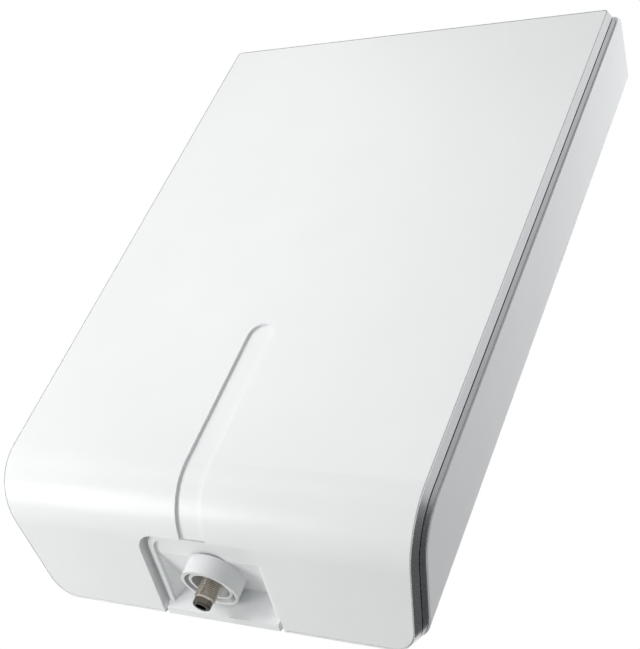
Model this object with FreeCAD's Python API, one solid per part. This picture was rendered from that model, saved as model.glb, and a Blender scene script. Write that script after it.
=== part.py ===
import FreeCAD, Part
import math
import os

# Flat panel antenna for outdoor television reception, in millimetres.
# X runs to the viewer's right, Y runs from the front to the back, Z is up.
# The origin is the middle of the four threaded inserts, on the flat back.

# overall form
RIM_WIDTH = 228.3
BODY_DEPTH = 60.5
RIM_TOP = 153.45
CHIN_CORNER = 141.0
CHIN_ANGLE = 20.5
BEND_RADIUS = 31.0
SIDE_DRAFT = 13.7
REAR_CORNER_RADIUS = 13.0
TOP_RISE = 8.3
TOP_LIP = 3.2
LIP_RUN = 4.2
LIP_ANGLE = 45.0
RIM_CORNER_RADIUS = 6.0
RIM_REAR_RADIUS = 17.0
RIM_OVERRUN = 2.2
HOUSING_CORNER_RADIUS = 2.4

# edge section, counted inward from the front surface
COVER_SHEET = 2.4
COVER_EDGE_RADIUS = 0.5
FLARE = 3.85
FLARE_DEPTH = 8.5
TRIM_LIP = 0.2
PARTING_DEPTH = 3.9
GASKET_WIDTH = 0.6
RIM_DEPTH = 7.5
WALL_PROUD = 0.3
TRIM_WALL = 3.4
GASKET_INSET = 0.8
GASKET_WALL = 2.6
SKIRT_WALL = 2.0
HOUSING_WALL = 2.6
REAR_WALL = 2.8
FIT = 0.1

# front groove and connector notch
GROOVE_WIDTH = 14.0
GROOVE_DEPTH = 1.3
GROOVE_TOP = -45.0
NOTCH_WIDTH = 65.0
NOTCH_REACH = 22.75
NOTCH_RADIUS = 9.0
NOTCH_LIP = 1.8
NOTCH_LIP_DEPTH = 5.6

# connector pod
POD_GAP = 2.3
POD_FIT = 0.3
POD_WALL = 2.0
POD_BACK = 4.3
POD_RIM = 2.4
POD_RIM_DEPTH = 3.3
POD_STEP = 1.4
POD_STEP_RADIUS = 5.5
POD_TAPER = 0.4
POD_HEADROOM = 8.44
POD_CEILING_THICK = 3.0
POD_FLANGE = 1.5
COLLAR_CLEAR = 1.5
COLLAR_RADIUS = 13.4
COLLAR_WALL = 1.6
COLLAR_LENGTH = 9.0
RING_RADIUS = 10.3
RING_WALL = 1.5
RING_SETBACK = 1.0
POD_TAB_X = 21.0
POD_TAB_SIZE = 10.0
POD_TAB_DEPTH = 9.0
POD_TAB_ROOT = 1.0

# coaxial connector
THREAD_RADIUS = 4.7
NECK_RADIUS = 4.5
THREAD_TIP = 18.1
THREAD_RELIEF = 0.5
NOSE_LENGTH = 3.2
NOSE_RADIUS = 4.1
BORE_RADIUS = 3.0
SOCKET_RADIUS = 0.9
CONTACT_BORE = 0.5
CONTACT_DEPTH = 6.0
HEX_FLATS = 14.0
HEX_HEIGHT = 3.0
NUT_FLATS = 12.7
NUT_HEIGHT = 3.0
WASHER_RADIUS = 7.4
WASHER_THICK = 0.8
SEAL_THICK = 1.0
SEAL_RADIUS = 6.8
CONNECTOR_TAIL = 6.0

# electronics
REFLECTOR_WIDTH = 156.0
REFLECTOR_HEIGHT = 196.0
REFLECTOR_BOTTOM = -58.0
REFLECTOR_THICK = 1.0
REFLECTOR_STAND = 10.5
REFLECTOR_FLANGE = 8.0
ELEMENT_WIDTH = 156.0
ELEMENT_HEIGHT = 176.0
ELEMENT_THICK = 1.6
SPACER_LENGTH = 28.0
SPACER_RADIUS = 4.0
SPACER_X = 70.0
SPACER_Z = 62.0
FOIL_THICK = 0.2
FOIL_CLEAR = 0.4
WING_SPREAD = 74.0
WING_ROOT = 7.0
WING_TIP = 66.0
BAY_PITCH = 84.0
FEED_WIDTH = 3.0
FEED_GAP = 8.0
BALUN_SIZE = 14.0
BALUN_DEPTH = 7.0
AMP_WIDTH = 74.0
AMP_HEIGHT = 46.0
AMP_THICK = 1.6
AMP_CENTRE_Z = -103.0
AMP_STAND = 20.0
AMP_HOLE_INSET = 5.0
CAN_WIDTH = 44.0
CAN_HEIGHT = 30.0
CAN_DEPTH = 7.0
CAN_SHEET = 0.4
LEAD_RADIUS = 1.5
OUTPUT_RADIUS = 1.0
LEAD_LAP = 5.0
LEAD_BEND = 4.0
LID_SKIRT = 2.5
CHIP_SIZE = 5.0
CHIP_DEPTH = 1.2
FILTER_WIDTH = 8.0
FILTER_HEIGHT = 5.0
FILTER_DEPTH = 2.5
PASSIVE_COUNT = 4
PASSIVE_PITCH = 8.0
PASSIVE_LENGTH = 2.0
PASSIVE_WIDTH = 1.2
PASSIVE_DEPTH = 0.8

# fasteners and bosses
COVER_BOSS_X = 86.0
COVER_BOSS_TOP = 126.0
COVER_BOSS_MID = 8.0
COVER_BOSS_LOW = -112.0
BOSS_RADIUS = 5.5
WELL_RADIUS = 4.2
SCREW_RADIUS = 1.75
SCREW_CLEAR = 2.1
PILOT_CLEAR = 0.1
HOLE_EXTRA = 1.0
RECESS_REACH = 0.55
RECESS_WIDTH = 0.14
RECESS_DEPTH = 0.5
HEAD_RADIUS = 3.6
HEAD_HEIGHT = 2.4
POST_RADIUS = 4.5
POST_LENGTH = 16.0
SEAT_THICK = 4.0
SMALL_SCREW_RADIUS = 1.4
SMALL_HEAD_RADIUS = 2.7
SMALL_HEAD_HEIGHT = 1.8
SMALL_SCREW_LENGTH = 8.0
STUD_LENGTH = 7.0
COVER_SCREW_LENGTH = 16.0
SMALL_BOSS_RADIUS = 3.6
MOUNT_X = 60.0
MOUNT_Z = 60.0
INSERT_RADIUS = 3.6
INSERT_BORE = 2.5
INSERT_LENGTH = 8.0
INSERT_BOSS_RADIUS = 6.4
INSERT_BOSS_LENGTH = 9.6
VENT_Z = -60.0
VENT_RADIUS = 4.0
VENT_FLANGE = 6.5
VENT_FLANGE_THICK = 1.5
VENT_SLOT = 0.8

V = FreeCAD.Vector
Y_FRONT = -BODY_DEPTH
CHIN = math.radians(CHIN_ANGLE)
DRAFT = math.radians(SIDE_DRAFT)
BEND_Y = Y_FRONT + BEND_RADIUS
BEND_Z = BEND_RADIUS * math.tan((math.pi / 2 - CHIN) / 2) - CHIN_CORNER
RIM_HALF = RIM_WIDTH / 2
FAR = 400.0
CHIN_ALONG = V(0, math.cos(CHIN), -math.sin(CHIN))
CHIN_OUT = V(0, -math.sin(CHIN), -math.cos(CHIN))
CHIN_ORIGIN = V(0, Y_FRONT, -CHIN_CORNER)
COLLAR_Y = -POD_BACK - COLLAR_RADIUS - COLLAR_CLEAR
NOTCH_START = (COLLAR_Y - NOTCH_REACH - Y_FRONT) / math.cos(CHIN)
POD_CEILING = POD_HEADROOM - CHIN_CORNER - (COLLAR_Y - Y_FRONT) * math.tan(CHIN)

os.makedirs("parts", exist_ok=True)


def save(name, pieces):
    solids = []
    for piece in pieces if isinstance(pieces, list) else [pieces]:
        solids.extend(piece.Solids)
    shape = solids[0] if len(solids) == 1 else Part.makeCompound(solids)
    shape.exportStep("parts/" + name + ".step")


def line(a, b):
    return Part.makeLine(a, b)


def arc(a, m, b):
    return Part.Arc(a, m, b).toShape()


def cyl(r, length, at, axis):
    return Part.makeCylinder(r, length, at, axis)


def box(x0, x1, y0, y1, z0, z1):
    return Part.makeBox(x1 - x0, y1 - y0, z1 - z0, V(x0, y0, z0))


def top_line(y, top):
    # height of the housing's top at depth y: a steep start behind the rim, then a gentle rise
    knee = Y_FRONT + RIM_DEPTH + LIP_RUN
    at_knee = top + LIP_RUN * math.tan(math.radians(TOP_RISE))
    slope = TOP_RISE if y > knee else LIP_ANGLE
    return at_knee + (y - knee) * math.tan(math.radians(slope))


def profile(offset, top, rear, rising):
    # everything behind the front surface, seen from the side
    y0 = Y_FRONT + offset
    r = BEND_RADIUS - offset
    mid = math.pi + (math.pi / 2 - CHIN) / 2
    z_front = top_line(y0, top) if rising else top
    z_rear = top_line(rear, top) if rising else top
    a = V(0, y0, z_front)
    b = V(0, y0, BEND_Z)
    m = V(0, BEND_Y + r * math.cos(mid), BEND_Z + r * math.sin(mid))
    c = V(0, BEND_Y, BEND_Z) + CHIN_OUT * r
    d = c + CHIN_ALONG * ((rear - c.y) / math.cos(CHIN))
    e = V(0, rear, z_rear)
    edges = [line(a, b), arc(b, m, c), line(c, d), line(d, e)]
    if rising:
        knee = Y_FRONT + RIM_DEPTH + LIP_RUN
        k = V(0, knee, top_line(knee, top))
        edges.append(line(e, k))
        e = k
    edges.append(line(e, a))
    wire = Part.Wire(edges)
    return Part.Face(wire).extrude(V(2 * FAR, 0, 0)).translated(V(-FAR, 0, 0))


def plan(half, rear, radius):
    # outline seen from above: drafted sides that round into the back
    reach = half * math.cos(DRAFT) + Y_FRONT * math.sin(DRAFT)
    yc = rear - radius
    xc = (reach - radius - yc * math.sin(DRAFT)) / math.cos(DRAFT)
    turn = DRAFT + (math.pi / 2 - DRAFT) / 2
    right = [
        V(half + BODY_DEPTH * math.tan(DRAFT), 2 * Y_FRONT, 0),
        V(xc + radius * math.cos(DRAFT), yc + radius * math.sin(DRAFT), 0),
        V(xc + radius * math.cos(turn), yc + radius * math.sin(turn), 0),
        V(xc, rear, 0),
    ]
    left = [V(-p.x, p.y, 0) for p in right]
    edges = []
    for p in (right, left):
        edges.append(line(p[0], p[1]))
        edges.append(arc(p[1], p[2], p[3]))
    edges.append(line(right[3], left[3]))
    edges.append(line(left[0], right[0]))
    face = Part.Face(Part.Wire(Part.sortEdges(edges)[0]))
    return face.extrude(V(0, 0, 2 * FAR)).translated(V(0, 0, -FAR))


def depth_below_front(p):
    # how far a point lies behind the front surface
    turn = math.atan2(BEND_Z - p.z, BEND_Y - p.y)
    if turn <= 0:
        return p.y - Y_FRONT
    if turn >= math.pi / 2 - CHIN:
        return (CHIN_ORIGIN - p).dot(CHIN_OUT)
    return BEND_RADIUS - math.hypot(p.y - BEND_Y, p.z - BEND_Z)


def front_outline(block):
    # the edges that go all the way round the front surface
    picked = []
    for edge in block.Edges:
        first, last = edge.ParameterRange
        spots = [edge.valueAt(first), edge.valueAt((first + last) / 2), edge.valueAt(last)]
        if max(abs(depth_below_front(p)) for p in spots) > FIT / 10:
            continue
        across = spots[0].x * spots[2].x < 0
        if across and spots[1].y < Y_FRONT / 4 and spots[1].z < 0:
            continue
        picked.append(edge)
    return picked


def body(offset, half, top, rear, radius, rising, corner):
    # a full block behind the front surface with its two upper corners rounded
    block = profile(offset, top, rear, rising).common(plan(half, rear, radius))
    if corner > 0:
        picked = []
        for edge in block.Edges:
            ends = [v.Point for v in edge.Vertexes]
            if len(ends) < 2:
                continue
            span = ends[1] - ends[0]
            upper = min(p.z for p in ends) > top - BODY_DEPTH / 4
            side = min(abs(p.x) for p in ends) > half / 2 and ends[0].x * ends[1].x > 0
            if upper and side and abs(span.y) > abs(span.x) * 2 and abs(span.y) > 1:
                picked.append(edge)
        block = block.makeFillet(corner, picked)
    return block.Solids[0]


def rim_block(inset, offset):
    # the block inside the rim, its sides moved in by the inset
    return body(
        offset, RIM_HALF - inset, RIM_TOP - inset, RIM_OVERRUN - inset,
        RIM_REAR_RADIUS - inset, False, RIM_CORNER_RADIUS - inset,
    )


def behind(depth):
    # everything deeper than that below the front surface
    return profile(depth, FAR / 2, FAR, False)


def flared_block():
    # the rim's block, widening from the front surface to a little behind the rim
    block = rim_block(0, 0)
    flared = block.makeChamfer(FLARE, FLARE_DEPTH, front_outline(block))
    return flared.common(box(-FAR, FAR, -FAR, 0, -FAR, FAR)).Solids[0]


def chin_prism(half, start, radius, low, high):
    # a block on the chin, open at its lower end, with rounded upper corners
    end = 2 * BODY_DEPTH
    k = radius * (1 - math.sqrt(0.5))

    def at(x, s):
        return CHIN_ORIGIN + CHIN_ALONG * s + V(x, 0, 0) - CHIN_OUT * low

    edges = [
        line(at(-half, end), at(-half, start + radius)),
        arc(at(-half, start + radius), at(-half + k, start + k), at(-half + radius, start)),
        line(at(-half + radius, start), at(half - radius, start)),
        arc(at(half - radius, start), at(half - k, start + k), at(half, start + radius)),
        line(at(half, start + radius), at(half, end)),
        line(at(half, end), at(-half, end)),
    ]
    return Part.Face(Part.Wire(edges)).extrude(CHIN_OUT * (low - high))


COVER_BOSSES = []
for side in (-1, 1):
    for z in (COVER_BOSS_TOP, COVER_BOSS_MID, COVER_BOSS_LOW):
        COVER_BOSSES.append(V(side * COVER_BOSS_X, 0, z))
MOUNTS = []
for sx in (-0.5, 0.5):
    for sz in (-0.5, 0.5):
        MOUNTS.append(V(sx * MOUNT_X, 0, sz * MOUNT_Z))
ELEMENT_Z = REFLECTOR_BOTTOM + REFLECTOR_HEIGHT / 2
SPACERS = []
for sx in (-1, 1):
    for sz in (-1, 1):
        SPACERS.append(V(sx * SPACER_X, 0, ELEMENT_Z + sz * SPACER_Z))
AMP_HOLES = []
for sx in (-1, 1):
    for sz in (-1, 1):
        x = sx * (AMP_WIDTH / 2 - AMP_HOLE_INSET)
        AMP_HOLES.append(V(x, 0, AMP_CENTRE_Z + sz * (AMP_HEIGHT / 2 - AMP_HOLE_INSET)))
POST_END = Y_FRONT + COVER_SHEET + POST_LENGTH
BACK = V(0, 1, 0)
FRONT = V(0, -1, 0)
UP = V(0, 0, 1)
DOWN = V(0, 0, -1)


def front_cover():
    step = FLARE + TRIM_LIP + FIT
    inset = step + SKIRT_WALL
    block = rim_block(step, 0)
    cover = block.makeFillet(COVER_EDGE_RADIUS, front_outline(block)).cut(behind(PARTING_DEPTH))
    cover = cover.cut(rim_block(inset, COVER_SHEET))
    for boss in COVER_BOSSES:
        start = V(boss.x, Y_FRONT + COVER_SHEET / 2, boss.z)
        cover = cover.fuse(cyl(POST_RADIUS, POST_END - start.y, start, BACK))
    lip_half = NOTCH_WIDTH / 2 + NOTCH_LIP
    lip = chin_prism(lip_half, NOTCH_START - NOTCH_LIP, NOTCH_RADIUS + NOTCH_LIP, 0, NOTCH_LIP_DEPTH)
    cover = cover.fuse(lip.common(rim_block(step, 0)))
    cover = cover.cut(notch(0)).cut(groove())
    for boss in COVER_BOSSES:
        at = V(boss.x, POST_END, boss.z)
        cover = cover.cut(cyl(SCREW_RADIUS + PILOT_CLEAR, POST_LENGTH - COVER_SHEET, at, FRONT))
    return cover.removeSplitter()


def notch(margin):
    # the opening in the chin, through the whole edge section
    return chin_prism(NOTCH_WIDTH / 2 + margin, NOTCH_START, NOTCH_RADIUS, -BODY_DEPTH, BODY_DEPTH)


def groove():
    # shallow channel that follows the front, the bend and the chin down to the notch
    r = GROOVE_WIDTH / 2
    ring = profile(-GROOVE_DEPTH, FAR / 2, 0.0, False).cut(profile(GROOVE_DEPTH, FAR / 2, 0.0, False))
    track = box(-r, r, 2 * Y_FRONT, 0, -FAR, GROOVE_TOP - r)
    head = cyl(r, BODY_DEPTH, V(0, Y_FRONT - GROOVE_WIDTH, GROOVE_TOP - r), BACK)
    return ring.common(track.fuse(head))


def front_trim():
    band = flared_block().cut(behind(PARTING_DEPTH))
    return band.cut(rim_block(FLARE + TRIM_LIP, 0)).cut(notch(0))


def rim_gasket():
    inset = FLARE / 2 + GASKET_INSET
    ring = rim_block(inset, PARTING_DEPTH).cut(behind(PARTING_DEPTH + GASKET_WIDTH))
    return ring.cut(rim_block(inset + GASKET_WALL, 0)).cut(notch(NOTCH_LIP))


def rear_trim():
    band = flared_block().common(behind(PARTING_DEPTH + GASKET_WIDTH)).cut(behind(RIM_DEPTH))
    return band.cut(rim_block(TRIM_WALL, 0)).cut(notch(NOTCH_LIP))


def rear_housing():
    half = RIM_HALF + WALL_PROUD
    shell = body(RIM_DEPTH, half, RIM_TOP + TOP_LIP, 0.0, REAR_CORNER_RADIUS, True, HOUSING_CORNER_RADIUS)
    hollow = body(
        0, half - HOUSING_WALL, RIM_TOP + TOP_LIP - HOUSING_WALL, -REAR_WALL,
        REAR_CORNER_RADIUS - HOUSING_WALL, True, 0,
    )
    shell = shell.cut(hollow)
    root = V(0, -REAR_WALL / 2, 0)
    for spots, radius, length in (
        (COVER_BOSSES, BOSS_RADIUS, -POST_END),
        (MOUNTS, INSERT_BOSS_RADIUS, INSERT_BOSS_LENGTH),
        (SPACERS, SMALL_BOSS_RADIUS, REFLECTOR_STAND),
        (AMP_HOLES, SMALL_BOSS_RADIUS, AMP_STAND),
    ):
        for spot in spots:
            shell = shell.fuse(cyl(radius, length - REAR_WALL / 2, spot + root, FRONT))
    for boss in COVER_BOSSES:
        shell = shell.cut(cyl(WELL_RADIUS, -POST_END - SEAT_THICK, boss, FRONT))
        shell = shell.cut(cyl(SCREW_CLEAR, BODY_DEPTH, boss, FRONT))
    for mount in MOUNTS:
        shell = shell.cut(cyl(INSERT_RADIUS, INSERT_LENGTH, mount, FRONT))
    pilot = SMALL_SCREW_RADIUS + PILOT_CLEAR
    for spots, stand in ((SPACERS, REFLECTOR_STAND), (AMP_HOLES, AMP_STAND)):
        for spot in spots:
            shell = shell.cut(cyl(pilot, stand - REAR_WALL, spot + root * 2, FRONT))
    wide = NOTCH_WIDTH / 2
    shell = shell.cut(box(-wide, wide, Y_FRONT / 4, FAR, -FAR, POD_CEILING + POD_CEILING_THICK + POD_FIT))
    for side in (-1, 1):
        spot = V(side * POD_TAB_X, 0, pod_tab_z())
        shell = shell.cut(cyl(pilot, REAR_WALL, spot, FRONT))
        shell = shell.cut(cyl(SMALL_HEAD_RADIUS + 2 * FIT, SMALL_HEAD_HEIGHT, spot, FRONT))
    shell = shell.cut(cyl(VENT_RADIUS, REAR_WALL, V(0, 0, VENT_Z), FRONT))
    return shell.removeSplitter()


def pod_tab_z():
    return POD_CEILING + POD_CEILING_THICK + POD_TAB_SIZE / 2 + POD_FIT


def chin_channel(half, low):
    # a channel along the chin whose sides lean together as it gets deeper
    high = low + half
    narrow = half - (high - low) * POD_TAPER
    points = []
    for x, depth in ((-half, low), (half, low), (narrow, high), (-narrow, high), (-half, low)):
        points.append(CHIN_ORIGIN + V(x, 0, 0) - CHIN_OUT * depth)
    return Part.Face(Part.makePolygon(points)).extrude(CHIN_ALONG * 2 * BODY_DEPTH)


def connector_pod():
    # tray with leaning sides, a level ceiling and a rim set below the edge of the notch
    half = NOTCH_WIDTH / 2 - POD_GAP
    top = POD_CEILING + POD_CEILING_THICK
    front = NOTCH_START + POD_GAP
    flange_depth = NOTCH_LIP_DEPTH + FIT
    flange_end = flange_depth + POD_FLANGE
    tray = chin_prism(half, front, NOTCH_RADIUS - POD_GAP, POD_RIM_DEPTH, FAR / 4)
    leaning = chin_channel(half + POD_WALL - POD_RIM, POD_RIM_DEPTH)
    low = box(-FAR, FAR, -FAR, FAR, -FAR, top)
    tray = tray.common(leaning).common(low)
    rim = chin_prism(half, front, NOTCH_RADIUS - POD_GAP, POD_RIM_DEPTH, flange_end)
    lap = NOTCH_LIP - POD_FIT
    flange = chin_prism(
        NOTCH_WIDTH / 2 + lap, NOTCH_START - lap, NOTCH_RADIUS + lap, flange_depth, flange_end
    )
    pod = tray.fuse(rim).fuse(flange.common(box(-FAR, FAR, -FAR, -REAR_WALL - FIT, -FAR, FAR)))
    pod = pod.common(box(-FAR, FAR, -FAR, 0, -FAR, FAR))
    wide = NOTCH_WIDTH / 2 - POD_FIT
    back = box(-half, half, -POD_BACK, 0, -FAR, top).common(behind(0))
    back = back.fuse(box(-wide, wide, -REAR_WALL, 0, -FAR, top).common(behind(flange_depth)))
    pod = pod.fuse(back).common(flared_block())
    inner = half - POD_RIM
    mouth = chin_prism(inner, front + POD_RIM, POD_STEP_RADIUS, -BODY_DEPTH, BODY_DEPTH)
    step = chin_prism(inner, front + POD_RIM, POD_STEP_RADIUS, 0, POD_RIM_DEPTH + POD_STEP)
    pocket = chin_channel(inner, POD_RIM_DEPTH).common(mouth)
    pocket = pocket.common(box(-FAR, FAR, -FAR, FAR, -FAR, POD_CEILING)).fuse(step)
    pod = pod.cut(pocket.common(box(-FAR, FAR, -FAR, -POD_BACK, -FAR, FAR)))
    at = V(0, COLLAR_Y, POD_CEILING)
    for radius, wall, length in (
        (COLLAR_RADIUS, COLLAR_WALL, COLLAR_LENGTH),
        (RING_RADIUS, RING_WALL, COLLAR_LENGTH - RING_SETBACK),
    ):
        tube = cyl(radius, length, at, DOWN).cut(cyl(radius - wall, length, at, DOWN))
        pod = pod.fuse(tube)
    for side in (-1, 1):
        x = side * POD_TAB_X
        h = POD_TAB_SIZE / 2
        tab_top = top + POD_TAB_SIZE + POD_FIT
        tab = box(x - h, x + h, -REAR_WALL - POD_TAB_DEPTH, -REAR_WALL, top - POD_TAB_ROOT, tab_top)
        at = V(x, -REAR_WALL, pod_tab_z())
        hole = cyl(SMALL_SCREW_RADIUS + PILOT_CLEAR, POD_TAB_DEPTH - POD_TAB_ROOT, at, FRONT)
        pod = pod.fuse(tab).cut(hole)
    pod = pod.cut(cyl(THREAD_RADIUS + FIT, FAR, V(0, COLLAR_Y, POD_CEILING - COLLAR_LENGTH), UP))
    return pod.removeSplitter()


def hexagon(flats, height, at):
    r = flats / math.sqrt(3)
    pts = [at + V(r * math.cos(k * math.pi / 3), r * math.sin(k * math.pi / 3), 0) for k in range(7)]
    return Part.Face(Part.makePolygon(pts)).extrude(V(0, 0, height))


def connector():
    top = POD_CEILING + POD_CEILING_THICK
    tip = POD_CEILING - THREAD_TIP
    flange = top + SEAL_THICK
    tail = flange + CONNECTOR_TAIL
    at = V(0, COLLAR_Y, 0)
    bevel = THREAD_RADIUS - NOSE_RADIUS
    washer_z = POD_CEILING - WASHER_THICK
    nut_z = washer_z - NUT_HEIGHT
    neck_z = nut_z - THREAD_RELIEF
    outline = [
        V(0, 0, tip),
        V(NOSE_RADIUS - bevel, 0, tip),
        V(NOSE_RADIUS, 0, tip + bevel),
        V(NOSE_RADIUS, 0, tip + NOSE_LENGTH),
        V(THREAD_RADIUS, 0, tip + NOSE_LENGTH + bevel),
        V(THREAD_RADIUS, 0, neck_z),
        V(NECK_RADIUS, 0, neck_z),
        V(NECK_RADIUS, 0, flange),
        V(NOSE_RADIUS, 0, flange),
        V(NOSE_RADIUS, 0, tail),
        V(0, 0, tail),
        V(0, 0, tip),
    ]
    barrel = Part.Face(Part.makePolygon(outline)).revolve(V(0, 0, 0), UP, 360)
    barrel.translate(at)
    barrel = barrel.fuse(hexagon(HEX_FLATS, HEX_HEIGHT, at + V(0, 0, flange)))
    barrel = barrel.cut(cyl(BORE_RADIUS, FAR, at + V(0, 0, tip + NOSE_LENGTH), UP))
    barrel = barrel.cut(cyl(BORE_RADIUS - bevel, FAR, at + V(0, 0, tip - 1), UP))
    core_start = tip + NOSE_LENGTH
    core = cyl(BORE_RADIUS - FIT / 2, tail - core_start, at + V(0, 0, core_start), UP)
    core = core.cut(cyl(SOCKET_RADIUS, FAR, at + V(0, 0, tip), UP))
    pin = cyl(SOCKET_RADIUS - FIT / 2, tail - core_start, at + V(0, 0, core_start + NOSE_LENGTH), UP)
    pin = pin.cut(cyl(CONTACT_BORE, CONTACT_DEPTH, at + V(0, 0, core_start + NOSE_LENGTH), UP))
    seal = cyl(SEAL_RADIUS, SEAL_THICK, at + V(0, 0, top), UP)
    seal = seal.cut(cyl(THREAD_RADIUS + FIT, SEAL_THICK, at + V(0, 0, top), UP))
    washer = cyl(WASHER_RADIUS, WASHER_THICK, at + V(0, 0, washer_z), UP)
    washer = washer.cut(cyl(THREAD_RADIUS + FIT, WASHER_THICK, at + V(0, 0, washer_z), UP))
    nut = hexagon(NUT_FLATS, NUT_HEIGHT, at + V(0, 0, nut_z))
    nut = nut.cut(cyl(NECK_RADIUS + FIT, NUT_HEIGHT, at + V(0, 0, nut_z), UP))
    save("f_connector_body", barrel.removeSplitter())
    save("f_connector_insulator", core)
    save("f_connector_contact", pin)
    save("f_connector_seal", seal)
    save("f_connector_washer", washer)
    save("f_connector_nut", nut)


REFLECTOR_FACE = -REFLECTOR_STAND - REFLECTOR_THICK
ELEMENT_BACK = REFLECTOR_FACE - SPACER_LENGTH
ELEMENT_FACE = ELEMENT_BACK - ELEMENT_THICK
AMP_FACE = -AMP_STAND - AMP_THICK


def reflector_plate():
    # sheet tray with its two long edges folded forward
    half = REFLECTOR_WIDTH / 2
    top = REFLECTOR_BOTTOM + REFLECTOR_HEIGHT
    plate = box(-half, half, REFLECTOR_FACE, -REFLECTOR_STAND, REFLECTOR_BOTTOM, top)
    for x in (-half, half - REFLECTOR_THICK):
        front = REFLECTOR_FACE - REFLECTOR_FLANGE
        fold = box(x, x + REFLECTOR_THICK, front, -REFLECTOR_STAND, REFLECTOR_BOTTOM, top)
        plate = plate.fuse(fold)
    for spot in SPACERS:
        plate = plate.cut(cyl(SMALL_SCREW_RADIUS + 2 * FIT, BODY_DEPTH, spot, FRONT))
    return plate.removeSplitter()


def element_spacers():
    pieces = []
    for spot in SPACERS:
        seat = V(spot.x, REFLECTOR_FACE, spot.z)
        post = cyl(SPACER_RADIUS, SPACER_LENGTH, seat, FRONT)
        stud = cyl(SMALL_SCREW_RADIUS, STUD_LENGTH + REFLECTOR_THICK, seat, BACK)
        depth = SMALL_SCREW_LENGTH + HOLE_EXTRA
        hole = cyl(SMALL_SCREW_RADIUS + PILOT_CLEAR, depth, V(spot.x, ELEMENT_BACK, spot.z), BACK)
        pieces.append(post.fuse(stud).cut(hole))
    return pieces


def element_board():
    half = ELEMENT_WIDTH / 2
    low = ELEMENT_Z - ELEMENT_HEIGHT / 2
    board = box(-half, half, ELEMENT_FACE, ELEMENT_BACK, low, low + ELEMENT_HEIGHT)
    for spot in SPACERS:
        board = board.cut(cyl(SMALL_SCREW_RADIUS + 2 * FIT, BODY_DEPTH, spot, FRONT))
    return board


def dipole_foils():
    # a left and a right conductor, each with two flared wings joined by a feed strip
    pieces = []
    y = ELEMENT_FACE
    for side in (-1, 1):
        inner = side * FEED_GAP / 2
        outer = inner + side * FEED_WIDTH
        z0 = ELEMENT_Z - BAY_PITCH / 2
        x0 = min(inner, outer)
        foil = box(x0, x0 + FEED_WIDTH, y - FOIL_THICK, y, z0, z0 + BAY_PITCH)
        for bay in (-1, 1):
            z = ELEMENT_Z + bay * BAY_PITCH / 2
            corners = [
                V(inner, y, z - WING_ROOT / 2),
                V(side * WING_SPREAD, y, z - WING_TIP / 2),
                V(side * WING_SPREAD, y, z + WING_TIP / 2),
                V(inner, y, z + WING_ROOT / 2),
                V(inner, y, z - WING_ROOT / 2),
            ]
            foil = foil.fuse(Part.Face(Part.makePolygon(corners)).extrude(V(0, -FOIL_THICK, 0)))
        for spot in SPACERS:
            foil = foil.cut(cyl(SMALL_HEAD_RADIUS + FOIL_CLEAR, BODY_DEPTH, spot, FRONT))
        pieces.append(foil.removeSplitter())
    return pieces


def balun_block():
    half = BALUN_SIZE / 2
    return box(-half, half, ELEMENT_BACK, ELEMENT_BACK + BALUN_DEPTH, ELEMENT_Z - half, ELEMENT_Z + half)


def amplifier_board():
    half = AMP_WIDTH / 2
    low = AMP_CENTRE_Z - AMP_HEIGHT / 2
    board = box(-half, half, AMP_FACE, -AMP_STAND, low, low + AMP_HEIGHT)
    for spot in AMP_HOLES:
        board = board.cut(cyl(SMALL_SCREW_RADIUS + 2 * FIT, BODY_DEPTH, spot, FRONT))
    return board


def ring_box(width, height, sheet, y0, y1):
    half = width / 2
    tall = height / 2
    z = AMP_CENTRE_Z
    outer = box(-half, half, y0, y1, z - tall, z + tall)
    return outer.cut(box(-half + sheet, half - sheet, y0, y1, z - tall + sheet, z + tall - sheet))


def shield_frame():
    return ring_box(CAN_WIDTH, CAN_HEIGHT, CAN_SHEET, AMP_FACE - CAN_DEPTH, AMP_FACE)


def shield_lid():
    wide = CAN_WIDTH + 2 * CAN_SHEET + FIT
    tall = CAN_HEIGHT + 2 * CAN_SHEET + FIT
    face = AMP_FACE - CAN_DEPTH
    skirt = ring_box(wide, tall, CAN_SHEET, face, face + LID_SKIRT)
    sheet = box(-wide / 2, wide / 2, face - CAN_SHEET, face, AMP_CENTRE_Z - tall / 2, AMP_CENTRE_Z + tall / 2)
    return skirt.fuse(sheet).removeSplitter()


def amplifier_parts():
    # chip, two filters and a row of small passive parts inside the shield
    def block(x, z, w, h, d):
        z = z + AMP_CENTRE_Z
        return box(x - w / 2, x + w / 2, AMP_FACE - d, AMP_FACE, z - h / 2, z + h / 2)

    pieces = [block(0, 0, CHIP_SIZE, CHIP_SIZE, CHIP_DEPTH)]
    for side in (-1, 1):
        pieces.append(block(side * CAN_WIDTH / 4, 0, FILTER_WIDTH, FILTER_HEIGHT, FILTER_DEPTH))
        for k in range(PASSIVE_COUNT):
            x = (k - (PASSIVE_COUNT - 1) / 2) * PASSIVE_PITCH
            pieces.append(block(x, side * CAN_HEIGHT / 4, PASSIVE_LENGTH, PASSIVE_WIDTH, PASSIVE_DEPTH))
    return pieces


def lead(points, bend, radius):
    # round cable through the points, its corners bent to an arc
    edges = []
    last = points[0]
    for before, corner, after in zip(points, points[1:], points[2:]):
        u = (before - corner).normalize()
        w = (after - corner).normalize()
        half = u.getAngle(w) / 2
        reach = bend / math.tan(half)
        start = corner + u * reach
        end = corner + w * reach
        inward = (u + w).normalize()
        middle = corner + inward * (bend / math.sin(half) - bend)
        edges.append(line(last, start))
        edges.append(arc(start, middle, end))
        last = end
    edges.append(line(last, points[-1]))
    ring = Part.Wire(Part.makeCircle(radius, points[0], points[1] - points[0]))
    return Part.Wire(edges).makePipeShell([ring], True, False)


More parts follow.
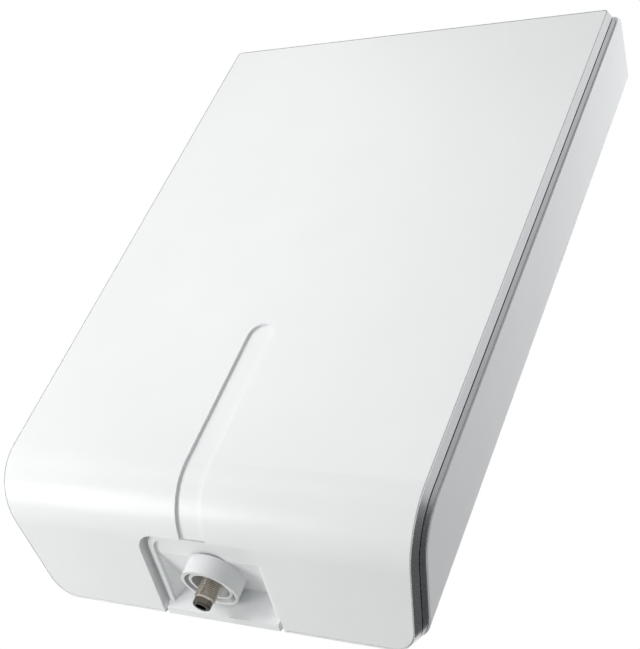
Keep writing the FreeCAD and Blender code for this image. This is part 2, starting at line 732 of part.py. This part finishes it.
def leads():
    rest = AMP_FACE - LEAD_RADIUS - FIT
    y = ELEMENT_BACK + BALUN_DEPTH / 2
    z_low = ELEMENT_Z - ELEMENT_HEIGHT / 2
    amp_top = AMP_CENTRE_Z + AMP_HEIGHT / 2
    amp_low = AMP_CENTRE_Z - AMP_HEIGHT / 2
    down = [
        V(0, y, ELEMENT_Z - BALUN_SIZE / 2),
        V(0, y, z_low),
        V(0, rest, amp_top + LEAD_LAP),
        V(0, rest, amp_top - LEAD_LAP),
    ]
    contact_top = POD_CEILING + POD_CEILING_THICK + SEAL_THICK + CONNECTOR_TAIL + NOSE_LENGTH
    out = [
        V(0, rest, amp_low + LEAD_LAP),
        V(0, rest, amp_low - LEAD_BEND / 2),
        V(0, COLLAR_Y, contact_top + LEAD_BEND),
        V(0, COLLAR_Y, contact_top),
    ]
    save("coax_jumper", lead(down, LEAD_BEND, LEAD_RADIUS))
    save("output_lead", lead(out, LEAD_BEND, OUTPUT_RADIUS))


def screw(radius, length, head_radius, head_height, seat, direction):
    # pan head with a cross recess, its seat at the given point
    head = cyl(head_radius, head_height, seat, direction * -1)
    shank = cyl(radius, length, seat, direction)
    top = seat - direction * head_height
    slot = head_radius * RECESS_REACH
    wide = head_radius * RECESS_WIDTH
    depth = head_height * RECESS_DEPTH
    piece = head.fuse(shank)
    for w, h in ((slot, wide), (wide, slot)):
        y0 = min(top.y, top.y + direction.y * depth)
        piece = piece.cut(box(seat.x - w, seat.x + w, y0, y0 + depth, seat.z - h, seat.z + h))
    return piece


def screws():
    cover = []
    for boss in COVER_BOSSES:
        seat = V(boss.x, POST_END + SEAT_THICK, boss.z)
        cover.append(screw(SCREW_RADIUS, COVER_SCREW_LENGTH, HEAD_RADIUS, HEAD_HEIGHT, seat, FRONT))
    small = (SMALL_SCREW_RADIUS, SMALL_SCREW_LENGTH, SMALL_HEAD_RADIUS, SMALL_HEAD_HEIGHT)
    element = []
    for spot in SPACERS:
        element.append(screw(*small, V(spot.x, ELEMENT_FACE, spot.z), BACK))
    board = []
    for spot in AMP_HOLES:
        board.append(screw(*small, V(spot.x, AMP_FACE, spot.z), BACK))
    pod = []
    for side in (-1, 1):
        pod.append(screw(*small, V(side * POD_TAB_X, -SMALL_HEAD_HEIGHT, pod_tab_z()), FRONT))
    save("cover_screws", cover)
    save("element_screws", element)
    save("board_screws", board)
    save("pod_screws", pod)


def mount_inserts():
    pieces = []
    for mount in MOUNTS:
        sleeve = cyl(INSERT_RADIUS - FIT / 2, INSERT_LENGTH, mount, FRONT)
        pieces.append(sleeve.cut(cyl(INSERT_BORE, INSERT_LENGTH, mount, FRONT)))
    return pieces


def vent_plug():
    at = V(0, 0, VENT_Z)
    plug = cyl(VENT_RADIUS - FIT / 2, REAR_WALL, at, FRONT)
    plug = plug.fuse(cyl(VENT_FLANGE, VENT_FLANGE_THICK, V(0, -REAR_WALL, VENT_Z), FRONT))
    half = VENT_SLOT / 2
    slot = box(-VENT_RADIUS / 2, VENT_RADIUS / 2, -REAR_WALL / 2, 0, VENT_Z - half, VENT_Z + half)
    return plug.cut(slot).removeSplitter()


save("front_cover", front_cover())
save("front_trim", front_trim())
save("rim_gasket", rim_gasket())
save("rear_trim", rear_trim())
save("rear_housing", rear_housing())
save("connector_pod", connector_pod())
connector()
save("reflector_plate", reflector_plate())
save("element_spacers", element_spacers())
save("element_board", element_board())
save("dipole_foils", dipole_foils())
save("balun_block", balun_block())
save("amplifier_board", amplifier_board())
save("shield_frame", shield_frame())
save("shield_lid", shield_lid())
save("amplifier_parts", amplifier_parts())
leads()
screws()
save("mount_inserts", mount_inserts())
save("vent_plug", vent_plug())
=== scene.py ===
# Outdoor TV antenna: finishes, the coaxial connector's fine detail, studio light and camera.
import math

import bmesh
import bpy
from mathutils import Matrix, Vector


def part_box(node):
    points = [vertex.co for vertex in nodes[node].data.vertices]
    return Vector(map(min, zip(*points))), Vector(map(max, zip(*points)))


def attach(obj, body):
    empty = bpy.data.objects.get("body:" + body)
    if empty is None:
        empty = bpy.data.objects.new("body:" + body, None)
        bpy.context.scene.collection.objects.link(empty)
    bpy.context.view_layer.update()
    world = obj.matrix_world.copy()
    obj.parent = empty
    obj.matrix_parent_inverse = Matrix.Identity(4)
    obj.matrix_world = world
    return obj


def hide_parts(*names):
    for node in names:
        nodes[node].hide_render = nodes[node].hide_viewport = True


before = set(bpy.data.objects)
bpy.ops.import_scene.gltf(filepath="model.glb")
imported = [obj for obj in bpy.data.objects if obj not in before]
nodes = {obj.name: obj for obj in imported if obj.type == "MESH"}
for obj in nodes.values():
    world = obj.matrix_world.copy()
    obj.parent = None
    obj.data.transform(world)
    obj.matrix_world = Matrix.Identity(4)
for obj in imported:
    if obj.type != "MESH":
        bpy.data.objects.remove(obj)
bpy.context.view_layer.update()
scene = bpy.context.scene

MM = 0.001

# Photograph: its height and the focal length in pixels, the sensor in millimetres,
# and the camera's place in metres with its axes
IMAGE_HEIGHT = 649
FOCAL_PIXELS = 1393.5
SENSOR = 36.0
CAMERA_PLACE = Vector((0.3687, -0.4557, -0.3590))
CAMERA_RIGHT = Vector((0.8297, 0.4260, 0.3608))
CAMERA_UP = Vector((-0.0145, -0.6295, 0.7768))

# Coaxial connector, in millimetres; heights are counted from its tip
THREAD_PITCH = 0.794
THREAD_CREST = 4.7
THREAD_ROOT = 4.3
THREAD_RINGS = 8
THREAD_RUNOUT = 0.2
FLANK_SLOPE = 2.4
ROOT_TOLERANCE = 0.05
SEGMENTS = 64
NOSE_RADIUS = 4.1
NOSE_LENGTH = 3.2
NOSE_ROUND = 0.9
NOSE_STEPS = 6
MOUTH_RADIUS = 2.4
MOUTH_ROUND = 0.35
MOUTH_STEPS = 4
BORE_RADIUS = 3.0
NECK_RADIUS = 4.5
NUT_GAP = 0.5
TAIL_LENGTH = 6.0
HEX_FLATS = 14.0
HEX_HEIGHT = 3.0
HEX_TURN = math.radians(30)
SMOOTH_ANGLE = math.radians(35)

# Finishes: patches, widths and depths in millimetres
NOISE_LOW, NOISE_HIGH = 0.3, 0.7
PLASTIC_IOR = 1.5
PLASTIC_TINT = 35.0
PLASTIC_SHEEN = 20.0
PLASTIC_SPREAD = 0.015
METAL_TINT = 5.0
METAL_SMOOTHER, METAL_ROUGHER = 0.02, 0.03
LINE_DEPTH = 0.001
LINE_STRENGTH = 0.6
LAMINATE_TINT = 2.5
LAMINATE_SHEEN = 3.0
LAMINATE_SMOOTH, LAMINATE_ROUGH = 0.28, 0.4
WEAVE_WIDTH = 1.2
WEAVE_DEPTH = 0.02
WEAVE_STRENGTH = 0.5
# How much finer a wave texture is than its scale says
WAVE_RATIO = 6.3
# Halfway between the ways the front and the chin face, and how closely a face of the band
# points that way where its film starts to go and where it is bare
BAND_LIP_FACING = (0, -0.82, -0.57)
BAND_LIP_START, BAND_LIP_BARE = 0.5, 0.7


def srgb(code):
    """Linear colour of an sRGB hex value."""
    parts = [int(code[i:i + 2], 16) / 255 for i in (1, 3, 5)]
    linear = [c / 12.92 if c <= 0.04045 else ((c + 0.055) / 1.055) ** 2.4 for c in parts]
    return (*linear, 1.0)


def per(size):
    """Texture scale of a pattern whose features are that many millimetres wide."""
    return 1 / (size * MM)


def add(tree, kind, inputs, **settings):
    """A new node with its settings, its values and its links."""
    node = tree.nodes.new(kind)
    for name, value in settings.items():
        setattr(node, name, value)
    for name, value in inputs.items():
        if isinstance(value, bpy.types.NodeSocket):
            tree.links.new(value, node.inputs[name])
        else:
            node.inputs[name].default_value = value
    return node


def blank(name):
    """A new material, its node tree, its shader and its Object coordinates."""
    material = bpy.data.materials.new(name)
    material.use_nodes = True
    tree = material.node_tree
    shader = tree.nodes["Principled BSDF"]
    place = add(tree, "ShaderNodeTexCoord", {}).outputs["Object"]
    return material, tree, shader, place


def tint(tree, place, size, first, second):
    """Colour that drifts between two tones over patches of that size."""
    drift = add(tree, "ShaderNodeTexNoise", {"Vector": place, "Scale": per(size), "Detail": 3.0})
    mixed = add(tree, "ShaderNodeMix", {
        "Factor": drift.outputs["Fac"], "A": srgb(first), "B": srgb(second)}, data_type="RGBA")
    return mixed.outputs["Result"]


def sheen_spread(tree, place, size, low, high):
    """Roughness that varies between two values over patches of that size."""
    patch = add(tree, "ShaderNodeTexNoise", {"Vector": place, "Scale": per(size), "Detail": 1.0})
    spread = add(tree, "ShaderNodeMapRange", {
        "Value": patch.outputs["Fac"], "From Min": NOISE_LOW, "From Max": NOISE_HIGH,
        "To Min": low, "To Max": high})
    return spread.outputs["Result"]


def moulded(name, first, second, rough, grain, depth):
    """Moulded plastic, rubber or felt: even colour, a skin of fine grain, a soft broad sheen."""
    material, tree, shader, place = blank(name)
    skin = add(tree, "ShaderNodeTexNoise", {"Vector": place, "Scale": per(grain), "Detail": 2.0})
    raised = add(tree, "ShaderNodeBump", {
        "Height": skin.outputs["Fac"], "Distance": depth * MM, "Strength": 1.0})
    sheen = sheen_spread(tree, place, PLASTIC_SHEEN, rough - PLASTIC_SPREAD, rough + PLASTIC_SPREAD)
    tree.links.new(tint(tree, place, PLASTIC_TINT, first, second), shader.inputs["Base Color"])
    tree.links.new(sheen, shader.inputs["Roughness"])
    tree.links.new(raised.outputs["Normal"], shader.inputs["Normal"])
    shader.inputs["IOR"].default_value = PLASTIC_IOR
    return material


def metal(name, first, second, rough, grain, stretch):
    """Bare or plated metal: drawn or turned lines along one axis, from stretched noise."""
    material, tree, shader, place = blank(name)
    turned = add(tree, "ShaderNodeMapping", {"Vector": place, "Scale": stretch})
    lines = add(tree, "ShaderNodeTexNoise", {
        "Vector": turned.outputs["Vector"], "Scale": per(grain), "Detail": 3.0})
    spread = add(tree, "ShaderNodeMapRange", {
        "Value": lines.outputs["Fac"], "From Min": NOISE_LOW, "From Max": NOISE_HIGH,
        "To Min": rough - METAL_SMOOTHER, "To Max": rough + METAL_ROUGHER})
    raised = add(tree, "ShaderNodeBump", {
        "Height": lines.outputs["Fac"], "Distance": LINE_DEPTH * MM, "Strength": LINE_STRENGTH})
    tree.links.new(tint(tree, place, METAL_TINT, first, second), shader.inputs["Base Color"])
    tree.links.new(spread.outputs["Result"], shader.inputs["Roughness"])
    tree.links.new(raised.outputs["Normal"], shader.inputs["Normal"])
    shader.inputs["Metallic"].default_value = 1.0
    return material


def overlay(material, keep, tone):
    """Another tone where keep is 0, the colour so far where it is 1."""
    tree = material.node_tree
    colour = tree.nodes["Principled BSDF"].inputs["Base Color"]
    mixed = add(tree, "ShaderNodeMix", {
        "Factor": keep, "A": srgb(tone), "B": colour.links[0].from_socket}, data_type="RGBA")
    tree.links.new(mixed.outputs["Result"], colour)


def smooth_nose_painted_dark_reflection(material, height, tone, rough):
    """Turned smoother below that height, drawn there in a darker tone: a painted dark reflection, as
    the nickel is the same as on the thread.
    """
    tree = material.node_tree
    roughness = tree.nodes["Principled BSDF"].inputs["Roughness"]
    place = add(tree, "ShaderNodeTexCoord", {}).outputs["Object"]
    split = add(tree, "ShaderNodeSeparateXYZ", {"Vector": place})
    above = add(tree, "ShaderNodeMath", {}, operation="GREATER_THAN")
    tree.links.new(split.outputs["Z"], above.inputs[0])
    above.inputs[1].default_value = height
    overlay(material, above.outputs["Value"], tone)
    mixed = add(tree, "ShaderNodeMix", {
        "Factor": above.outputs["Value"], "A": rough, "B": roughness.links[0].from_socket})
    tree.links.new(mixed.outputs["Result"], roughness)


def bare_lip(material, plastic):
    """Film that stops at the front corner: the lip beside the cover shows the plastic under it."""
    tree = material.node_tree
    facing = add(tree, "ShaderNodeVectorMath", {}, operation="DOT_PRODUCT")
    tree.links.new(add(tree, "ShaderNodeNewGeometry", {}).outputs["True Normal"], facing.inputs[0])
    facing.inputs[1].default_value = BAND_LIP_FACING
    film = add(tree, "ShaderNodeMapRange", {
        "Value": facing.outputs["Value"], "From Min": BAND_LIP_START, "From Max": BAND_LIP_BARE,
        "To Min": 1.0, "To Max": 0.0})
    overlay(material, film.outputs["Result"], plastic)
    tree.links.new(film.outputs["Result"], tree.nodes["Principled BSDF"].inputs["Metallic"])


def laminate(name, first, second):
    """Glass cloth laminate under solder mask: a faint square weave below a glossy skin."""
    material, tree, shader, place = blank(name)
    weave = add(tree, "ShaderNodeMath", {}, operation="MULTIPLY")
    for factor, direction in zip(weave.inputs, "XZ"):
        threads = add(tree, "ShaderNodeTexWave", {
            "Vector": place, "Scale": per(WEAVE_WIDTH) / WAVE_RATIO}, bands_direction=direction)
        tree.links.new(threads.outputs["Fac"], factor)
    raised = add(tree, "ShaderNodeBump", {
        "Height": weave.outputs["Value"], "Distance": WEAVE_DEPTH * MM, "Strength": WEAVE_STRENGTH})
    sheen = sheen_spread(tree, place, LAMINATE_SHEEN, LAMINATE_SMOOTH, LAMINATE_ROUGH)
    tree.links.new(tint(tree, place, LAMINATE_TINT, first, second), shader.inputs["Base Color"])
    tree.links.new(sheen, shader.inputs["Roughness"])
    tree.links.new(raised.outputs["Normal"], shader.inputs["Normal"])
    return material


# Grain and lines that are finer on the real antenna are drawn as coarse as they need to show.
# Smooth ASA, moulded in a polished tool: clean white with a soft gloss
cover_white = moulded("moulded_asa_satin_white", "#eff1f1", "#eaeced", 0.25, 1.6, 0.006)
# ASA from a spark-eroded tool: the same white, duller, with a fine grain
housing_white = moulded("moulded_asa_grained_white", "#e6e8ea", "#e0e3e5", 0.48, 0.7, 0.02)
# EPDM rubber: near black, dull
gasket_black = moulded("moulded_epdm_rubber_black", "#1b1c1e", "#26272a", 0.72, 0.5, 0.02)
# Polyethylene core of the connector: milky
core_white = moulded("turned_polyethylene_milky", "#e8e6dd", "#dedbd0", 0.4, 0.6, 0.01)
# Nylon spacers: warm off-white
spacer_nylon = moulded("moulded_nylon_natural", "#e3e0d3", "#d9d5c6", 0.45, 0.8, 0.01)
# Moulded epoxy of the chips and the balun: black, slightly grey
chip_black = moulded("moulded_epoxy_black", "#1f1f20", "#2b2b2c", 0.5, 0.4, 0.015)
# Vinyl of the lead jackets: smooth black
jacket_black = moulded("extruded_vinyl_black", "#18191a", "#232425", 0.38, 0.8, 0.008)
# Polypropylene of the vent plug: plain grey
vent_grey = moulded("moulded_polypropylene_grey", "#7b7e80", "#737679", 0.5, 0.6, 0.012)
# Nickel on brass: warm grey, turned lines round the axis
nickel = metal("turned_nickel_plate", "#bdb8ae", "#b3aea4", 0.24, 0.25, (0.2, 0.2, 1.0))
# Satin silver film on the front band: drawn along its length, white plastic at its lip
band_silver = metal("satin_silver_band", "#d6d8da", "#cfd1d4", 0.26, 0.6, (1.0, 1.0, 0.08))
bare_lip(band_silver, "#eff1f1")
# The same film on the band behind it: a darker shade
rear_silver = metal("satin_grey_band", "#b6b8bb", "#adb0b3", 0.28, 0.6, (1.0, 1.0, 0.08))
# Rolled aluminium sheet: lines along its height
rolled_aluminium = metal("rolled_aluminium_sheet", "#d4d6d7", "#c8cacc", 0.36, 0.35, (1.0, 1.0, 0.04))
# Tin-plated steel of the shield can: pale grey, faint lines
tin_plate = metal("tin_plated_steel", "#c9cacb", "#bcbdbf", 0.3, 0.5, (1.0, 1.0, 0.3))
# Zinc-plated steel of the screws: bluish grey, mottled
zinc_plate = metal("zinc_plated_steel", "#b9bcc0", "#a9adb2", 0.32, 0.4, (1.0, 1.0, 1.0))
# Turned brass of the inserts and the contact: yellow, fine lines
turned_brass = metal("turned_brass", "#c9a659", "#bb974b", 0.27, 0.3, (1.0, 0.2, 1.0))
# Etched copper foil: reddish, mottled
copper_foil = metal("etched_copper_foil", "#c78a66", "#b97c59", 0.33, 0.5, (1.0, 1.0, 1.0))
# Circuit boards: green mask over glass cloth
board_green = laminate("glass_laminate_green_mask", "#1f5a35", "#1a4e2d")

FINISHES = {
    cover_white: ["front_cover", "connector_pod"],
    housing_white: ["rear_housing"],
    band_silver: ["front_trim"],
    rear_silver: ["rear_trim"],
    gasket_black: ["rim_gasket", "f_connector_seal"],
    nickel: ["f_connector_body", "f_connector_nut", "f_connector_washer"],
    core_white: ["f_connector_insulator"],
    turned_brass: ["f_connector_contact", "mount_inserts"],
    rolled_aluminium: ["reflector_plate"],
    spacer_nylon: ["element_spacers"],
    board_green: ["element_board", "amplifier_board"],
    copper_foil: ["dipole_foils"],
    chip_black: ["balun_block", "amplifier_parts"],
    tin_plate: ["shield_frame", "shield_lid"],
    jacket_black: ["coax_jumper", "output_lead"],
    zinc_plate: ["cover_screws", "element_screws", "board_screws", "pod_screws"],
    vent_grey: ["vent_plug"],
}
for finish, names in FINISHES.items():
    for name in names:
        mesh = nodes[name].data
        mesh.materials.clear()
        mesh.materials.append(finish)


def piece(name, build, finish):
    """A new object of the antenna from a bmesh, smooth where its faces meet gently."""
    mesh = bpy.data.meshes.new(name)
    build.to_mesh(mesh)
    build.free()
    mesh.materials.append(finish)
    mesh.polygons.foreach_set("use_smooth", [True] * len(mesh.polygons))
    mesh.set_sharp_from_angle(angle=SMOOTH_ANGLE)
    made = bpy.data.objects.new(name, mesh)
    scene.collection.objects.link(made)
    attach(made, "root")
    return made


def quarter(radius, height, size, start, steps):
    """Points of a quarter round about a centre, as (radius, height)."""
    turns = [start + math.pi / 2 * k / steps for k in range(steps + 1)]
    return [(radius + size * math.cos(a), height + size * math.sin(a)) for a in turns]


def threaded_body():
    """The connector's body: rounded nose, helical thread, plain neck, hexagon and tail."""
    low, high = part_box("f_connector_body")
    nut_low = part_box("f_connector_nut")[0]
    axis = Vector(((low[0] + high[0]) / 2, (low[1] + high[1]) / 2, low[2]))
    start = NOSE_LENGTH + THREAD_CREST - NOSE_RADIUS
    end = (nut_low[2] - low[2]) / MM - NUT_GAP
    tail = (high[2] - low[2]) / MM
    seat = tail - TAIL_LENGTH
    rings = math.ceil((end - start) / THREAD_PITCH * THREAD_RINGS)
    thread = [(THREAD_ROOT, start + (end - start) * k / rings) for k in range(rings + 1)]
    mouth = quarter(MOUTH_RADIUS + MOUTH_ROUND, MOUTH_ROUND, MOUTH_ROUND, math.pi, MOUTH_STEPS)
    nose = quarter(NOSE_RADIUS - NOSE_ROUND, NOSE_ROUND, NOSE_ROUND, -math.pi / 2, NOSE_STEPS)
    outline = [
        (BORE_RADIUS, NOSE_LENGTH), (MOUTH_RADIUS, NOSE_LENGTH), *mouth,
        *nose, (NOSE_RADIUS, NOSE_LENGTH), *thread,
        (NECK_RADIUS, end), (NECK_RADIUS, seat), (NOSE_RADIUS, seat),
        (NOSE_RADIUS, tail), (BORE_RADIUS, tail),
    ]
    build = bmesh.new()
    ring = [build.verts.new((r * MM, 0, z * MM)) for r, z in outline]
    edges = [build.edges.new((a, b)) for a, b in zip(ring, ring[1:] + ring[:1])]
    bmesh.ops.spin(
        build, geom=ring + edges, cent=(0, 0, 0), axis=(0, 0, 1), angle=math.tau,
        steps=SEGMENTS, use_merge=True, use_duplicate=False)
    for vert in build.verts:
        height = vert.co.z / MM
        on_root = abs(vert.co.xy.length / MM - THREAD_ROOT) <= ROOT_TOLERANCE
        if not on_root or not start + THREAD_RUNOUT < height < end - THREAD_RUNOUT:
            continue
        phase = (height / THREAD_PITCH - math.atan2(vert.co.y, vert.co.x) / math.tau) % 1.0
        rise = min(1.0, FLANK_SLOPE * min(phase, 1 - phase))
        crest = THREAD_ROOT + (THREAD_CREST - THREAD_ROOT) * rise
        vert.co.xy = vert.co.xy.normalized() * crest * MM
    hex_radius = HEX_FLATS / math.sqrt(3) * MM
    hexagon = bmesh.ops.create_cone(
        build, segments=6, cap_ends=True, radius1=hex_radius, radius2=hex_radius,
        depth=HEX_HEIGHT * MM)["verts"]
    bmesh.ops.rotate(build, verts=hexagon, matrix=Matrix.Rotation(HEX_TURN, 3, "Z"))
    bmesh.ops.translate(build, verts=hexagon, vec=(0, 0, (seat + HEX_HEIGHT / 2) * MM))
    bmesh.ops.recalc_face_normals(build, faces=build.faces[:])
    bmesh.ops.translate(build, verts=build.verts[:], vec=axis)
    return build


connector = piece("f_connector_turned", threaded_body(), nickel)
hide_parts("f_connector_body")
# The nose is the same nickel as the thread; its darker tone is a painted dark reflection
smooth_nose_painted_dark_reflection(nickel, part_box("f_connector_body")[0][2] + NOSE_LENGTH * MM, "#5f5c56", 0.12)

scene.view_settings.view_transform = "Standard"

# Studio, in metres: pale floor far below, white surround, soft lamps
FLOOR_DROP = 0.95
FLOOR_SIZE = 12.0
FLOOR_TINT = 400.0
floor_build = bmesh.new()
bmesh.ops.create_grid(floor_build, x_segments=2, y_segments=2, size=FLOOR_SIZE / 2)
bmesh.ops.translate(floor_build, verts=floor_build.verts[:], vec=(0, 0, -FLOOR_DROP))
floor_mesh = bpy.data.meshes.new("studio_floor")
floor_build.to_mesh(floor_mesh)
floor_build.free()
floor = bpy.data.objects.new("studio_floor", floor_mesh)
scene.collection.objects.link(floor)
# Matt paper: near white, with no shine
paper, paper_tree, paper_shader, paper_place = blank("matt_white_paper")
paper_tint = tint(paper_tree, paper_place, FLOOR_TINT, "#f2f2f1", "#eeeeed")
paper_tree.links.new(paper_tint, paper_shader.inputs["Base Color"])
paper_shader.inputs["Roughness"].default_value = 0.9
floor_mesh.materials.append(paper)

# The surround is white to look at and in reflections, and weaker as a light
SURROUND_LIGHT = 0.475
world = bpy.data.worlds.new("white_surround")
scene.world = world
world.use_nodes = True
sky = world.node_tree
sky.nodes.clear()
ray = add(sky, "ShaderNodeLightPath", {})
seen = add(sky, "ShaderNodeMath", {}, operation="MAXIMUM")
sky.links.new(ray.outputs["Is Camera Ray"], seen.inputs[0])
sky.links.new(ray.outputs["Is Glossy Ray"], seen.inputs[1])
shown = add(sky, "ShaderNodeMath", {}, operation="MAXIMUM")
sky.links.new(seen.outputs["Value"], shown.inputs[0])
sky.links.new(ray.outputs["Is Transmission Ray"], shown.inputs[1])
level = add(sky, "ShaderNodeMapRange", {
    "Value": shown.outputs["Value"], "To Min": SURROUND_LIGHT, "To Max": 1.0})
surround = add(sky, "ShaderNodeBackground", {
    "Color": (1, 1, 1, 1), "Strength": level.outputs["Result"]})
add(sky, "ShaderNodeOutputWorld", {"Surface": surround.outputs["Background"]})


def card(name, place, target, width, height, finish, mirrored):
    """A studio card that faces the target, seen by glossy surfaces only or by matt ones only."""
    build = bmesh.new()
    # A square with sides of 1
    bmesh.ops.create_grid(build, x_segments=1, y_segments=1, size=0.5)
    bmesh.ops.scale(build, verts=build.verts[:], vec=(width, height, 1))
    aim = (Vector(target) - Vector(place)).to_track_quat("Z", "Y").to_matrix()
    bmesh.ops.rotate(build, verts=build.verts[:], matrix=aim)
    bmesh.ops.translate(build, verts=build.verts[:], vec=place)
    mesh = bpy.data.meshes.new(name)
    build.to_mesh(mesh)
    build.free()
    mesh.materials.append(finish)
    made = bpy.data.objects.new(name, mesh)
    scene.collection.objects.link(made)
    made.visible_camera = False
    made.visible_glossy = mirrored
    made.visible_diffuse = not mirrored
    made.visible_shadow = False


def graded(name, bottom, top, dark, light):
    """Back-lit paper whose brightness rises from one height to another."""
    material, tree, shader, place = blank(name)
    height = add(tree, "ShaderNodeSeparateXYZ", {"Vector": place}).outputs["Z"]
    glow = add(tree, "ShaderNodeMapRange", {
        "Value": height, "From Min": bottom, "From Max": top, "To Min": dark, "To Max": light})
    tree.links.new(glow.outputs["Result"], shader.inputs["Emission Strength"])
    shader.inputs["Emission Color"].default_value = (1, 1, 1, 1)
    shader.inputs["Base Color"].default_value = (0, 0, 0, 1)
    shader.inputs["Specular IOR Level"].default_value = 0.0
    return material


# Square soft lamps: name, place, what it faces, size, watts, whether glossy surfaces show it
LAMPS = (
    ("key_softbox", (-0.486, -0.776, -0.065), (0, -0.05, -0.1), 0.16, 2.4, False),
    ("low_left_softbox", (-0.55, -0.45, -0.65), (0, -0.05, -0.13), 0.35, 2.2, False),
    ("near_left_softbox", (-0.38, -0.28, -0.42), (-0.05, -0.04, -0.15), 0.2, 0.36, True),
    ("top_left_softbox", (-0.6, -0.9, 0.7), (0, -0.05, -0.05), 0.6, 1.6, True),
    ("right_back_softbox", (0.45, 0.1, 0.35), (0.1, -0.03, 0.1), 0.3, 1.3, False),
    ("back_left_softbox", (-0.7, 0.9, 0.35), (0, 0, 0), 0.5, 5.0, False),
)
for name, place, target, size, power, mirrored in LAMPS:
    bulb = bpy.data.lights.new(name, "AREA")
    bulb.energy = power
    bulb.size = size
    lamp = bpy.data.objects.new(name, bulb)
    lamp.location = place
    lamp.rotation_euler = (Vector(target) - Vector(place)).to_track_quat("-Z", "Y").to_euler()
    lamp.visible_glossy = mirrored
    scene.collection.objects.link(lamp)

# Cards that the edge bands mirror: dark behind the chin, rising to white above
CARD_PLACE = Vector((0.91, 0.91, 0))
CARD_WIDTH = 1.6
CARD_BOTTOM, CARD_STEP, CARD_TOP = -0.6, 0.25, 1.7
for name, low, high, dark, light in (
    ("low_back_card", CARD_BOTTOM, CARD_STEP, 0.07, 0.14),
    ("high_back_card", CARD_STEP, CARD_TOP, 0.66, 1.05),
):
    middle = Vector((0, 0, (low + high) / 2))
    glowing = graded(name + "_paper", low, high, dark, light)
    card(name, CARD_PLACE + middle, middle, CARD_WIDTH, high - low, glowing, True)
# Black felt that keeps light off the lower right
felt = moulded("black_felt_card", "#1c1c1d", "#242425", 0.9, 2.0, 0.05)
card("low_right_card", (0.75, 0.1, -0.45), (0.05, -0.03, -0.1), 1.0, 0.8, felt, False)

# Camera at the photograph's angle; its sensor spans the longer side, which is the height
camera_data = bpy.data.cameras.new("photo_camera")
camera_data.sensor_width = SENSOR
camera_data.lens = FOCAL_PIXELS * SENSOR / IMAGE_HEIGHT
camera = bpy.data.objects.new("photo_camera", camera_data)
back = CAMERA_RIGHT.cross(CAMERA_UP).normalized()
up = back.cross(CAMERA_RIGHT).normalized()
right = up.cross(back)
turn = Matrix((right, up, back)).transposed().to_4x4()
camera.matrix_world = Matrix.Translation(CAMERA_PLACE) @ turn
scene.collection.objects.link(camera)
scene.camera = camera
